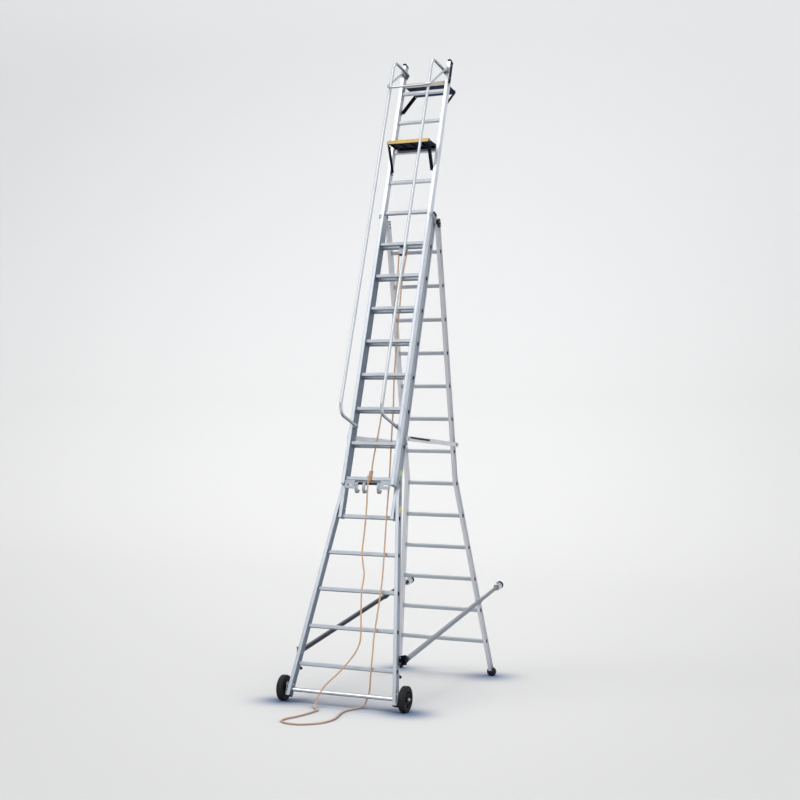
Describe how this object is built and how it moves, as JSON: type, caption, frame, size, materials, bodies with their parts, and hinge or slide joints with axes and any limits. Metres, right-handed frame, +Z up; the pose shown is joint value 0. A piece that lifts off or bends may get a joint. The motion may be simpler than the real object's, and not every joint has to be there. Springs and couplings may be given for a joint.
{
  "type": "rolling warehouse ladder",
  "caption": "Wheeled self-supporting aluminium ladder with sliding upper section, handrails, folding platform and tray, rear prop, rope hoist and stowed outriggers.",
  "frame": {"origin": "on the floor, under the middle of the row's bounding box", "axes": "+Z up, +X along the rungs to the right of a climber facing the rungs, +Y from the climbing side towards the rear prop"},
  "size_m": [1.092, 3.4345, 5.5408],
  "materials": {
    "aluminium": "satin extruded",
    "bright_tube": "bright drawn",
    "steel": "zinc plated",
    "black_plastic": "moulded",
    "black_rubber": "matte",
    "tyre": "matte",
    "rope": "braided",
    "yellow_edge": "moulded edge strip",
    "black_metal": "semi-matt coat",
    "marker": "plain film",
    "deck": "anti-slip",
    "tray_metal": "semi-matt coat"
  },
  "bodies": {
    "base": {"base_stiles": "aluminium", "base_legs": "aluminium", "base_rungs": "aluminium", "base_rung_plugs": "black_plastic", "base_end_caps": "black_plastic", "knee_splices": "aluminium", "axle_beam": "bright_tube", "axle_brackets": "aluminium", "axle_pins": "steel", "leg_stubs": "black_plastic", "marker_patches": "marker", "top_guide_brackets": "aluminium", "stay_hook_pins": "steel", "pulley_bracket": "black_metal", "hauling_rope": "rope", "rope_lift_strand": "rope", "rope_tail": "rope", "outrigger_brackets": "black_metal"},
    "fly": {"fly_stiles": "aluminium", "fly_rungs": "aluminium", "fly_rung_plugs": "black_plastic", "fly_end_caps": "black_plastic", "handrails": "bright_tube", "handrail_brackets": "aluminium", "panel_pins": "steel", "latch_side_plates": "aluminium", "fly_guide_blocks": "black_plastic", "rope_knot": "rope"},
    "latch": {"latch_shaft": "black_metal", "latch_hooks": "aluminium"},
    "hoop": {"guard_hoop": "bright_tube"},
    "platform": {"platform_frame": "black_metal", "platform_deck": "deck", "platform_front_edge": "yellow_edge"},
    "platform_strut_pair": {"platform_struts": "black_metal"},
    "tray": {"tool_tray": "tray_metal"},
    "tray_strut_pair": {"tray_struts": "black_metal"},
    "rear_prop": {"rear_stiles": "aluminium", "rear_rungs": "aluminium", "rear_rung_plugs": "black_plastic", "rear_end_caps": "black_plastic", "rear_feet": "black_rubber", "rear_hinge_plates": "aluminium", "rear_pivot_pins": "steel"},
    "stay_r": {"stay_right": "aluminium"},
    "stay_l": {"stay_left": "aluminium"},
    "wheel_r": {"wheel_hub_right": "black_plastic", "tyre_right": "tyre"},
    "wheel_l": {"wheel_hub_left": "black_plastic", "tyre_left": "tyre"},
    "sheave": {"pulley_sheave": "black_plastic"},
    "swivel_r": {"outrigger_swivel_right": "black_metal"},
    "boom_r": {"outrigger_tube_right": "aluminium"},
    "slider_r": {"outrigger_slider_right": "bright_tube", "outrigger_foot_right": "black_rubber"},
    "swivel_l": {"outrigger_swivel_left": "black_metal"},
    "boom_l": {"outrigger_tube_left": "aluminium"},
    "slider_l": {"outrigger_slider_left": "bright_tube", "outrigger_foot_left": "black_rubber"}
  },
  "joints": [
    {"name": "fly_slide", "type": "slide", "parent": "base", "child": "fly", "axis": [0, 0.2602, 0.9656], "range_m": [0, 1.5], "deforming": ["rope_lift_strand", "rope_tail"]},
    {"name": "latch_swing", "type": "hinge", "parent": "fly", "child": "latch", "pos_m": [0, -0.4788, 1.72171], "axis": [1, 0, 0], "range_deg": [0, 35]},
    {"name": "guard_hoop_lift", "type": "hinge", "parent": "fly", "child": "hoop", "pos_m": [0, 0.47549, 5.43635], "axis": [-1, 0, 0], "range_deg": [0, 100]},
    {"name": "platform_fold", "type": "hinge", "parent": "fly", "child": "platform", "pos_m": [0, 0.3545, 4.699], "axis": [-1, 0, 0], "range_deg": [0, 88]},
    {"name": "platform_strut_swing", "type": "hinge", "parent": "platform", "child": "platform_strut_pair", "pos_m": [0, 0.1485, 4.699], "axis": [-1, 0, 0], "range_deg": [0, 36]},
    {"name": "tray_fold", "type": "hinge", "parent": "fly", "child": "tray", "pos_m": [0, 0.5115, 5.309], "axis": [1, 0, 0], "range_deg": [0, 50]},
    {"name": "tray_strut_swing", "type": "hinge", "parent": "tray", "child": "tray_strut_pair", "pos_m": [0, 0.7585, 5.312], "axis": [1, 0, 0], "range_deg": [0, 30]},
    {"name": "prop_fold", "type": "hinge", "parent": "base", "child": "rear_prop", "pos_m": [0, 0.24806, 4.0042], "axis": [-1, 0, 0], "range_deg": [0, 28]},
    {"name": "stay_right_lift", "type": "hinge", "parent": "rear_prop", "child": "stay_r", "pos_m": [0.259, 0.87439, 2.107], "axis": [-1, 0, 0], "range_deg": [0, 66]},
    {"name": "stay_left_lift", "type": "hinge", "parent": "rear_prop", "child": "stay_l", "pos_m": [-0.259, 0.87439, 2.107], "axis": [-1, 0, 0], "range_deg": [0, 66]},
    {"name": "wheel_right_spin", "type": "hinge", "parent": "base", "child": "wheel_r", "pos_m": [0.513, -0.8155, 0.1], "axis": [1, 0, 0], "continuous": true},
    {"name": "wheel_left_spin", "type": "hinge", "parent": "base", "child": "wheel_l", "pos_m": [-0.513, -0.8155, 0.1], "axis": [1, 0, 0], "continuous": true},
    {"name": "sheave_spin", "type": "hinge", "parent": "base", "child": "sheave", "pos_m": [0, 0.10468, 3.72385], "axis": [0, 0.9656, -0.2602], "continuous": true},
    {"name": "outrigger_right_swing", "type": "hinge", "parent": "base", "child": "swivel_r", "pos_m": [0.452, -0.6985, 0.376], "axis": [0, 0, -1], "range_deg": [0, 75]},
    {"name": "outrigger_right_lower", "type": "hinge", "parent": "swivel_r", "child": "boom_r", "pos_m": [0.452, -0.6645, 0.376], "axis": [-1, 0, 0], "range_deg": [0, 17.7]},
    {"name": "outrigger_right_extend", "type": "slide", "parent": "boom_r", "child": "slider_r", "axis": [0, 0.9826, 0.1857], "range_m": [0, 0.5]},
    {"name": "outrigger_left_swing", "type": "hinge", "parent": "base", "child": "swivel_l", "pos_m": [-0.452, -0.6985, 0.376], "axis": [0, 0, 1], "range_deg": [0, 75]},
    {"name": "outrigger_left_lower", "type": "hinge", "parent": "swivel_l", "child": "boom_l", "pos_m": [-0.452, -0.6645, 0.376], "axis": [-1, 0, 0], "range_deg": [0, 17.7]},
    {"name": "outrigger_left_extend", "type": "slide", "parent": "boom_l", "child": "slider_l", "axis": [0, 0.9826, 0.1857], "range_m": [0, 0.5]}
  ],
  "couplings": [
    {"joint": "stay_right_lift", "follows": "prop_fold", "ratio": 2.32},
    {"joint": "stay_left_lift", "follows": "prop_fold", "ratio": 2.32},
    {"joint": "outrigger_right_lower", "follows": "outrigger_right_swing", "ratio": 0.2347},
    {"joint": "outrigger_left_lower", "follows": "outrigger_left_swing", "ratio": 0.2347}
  ]
}
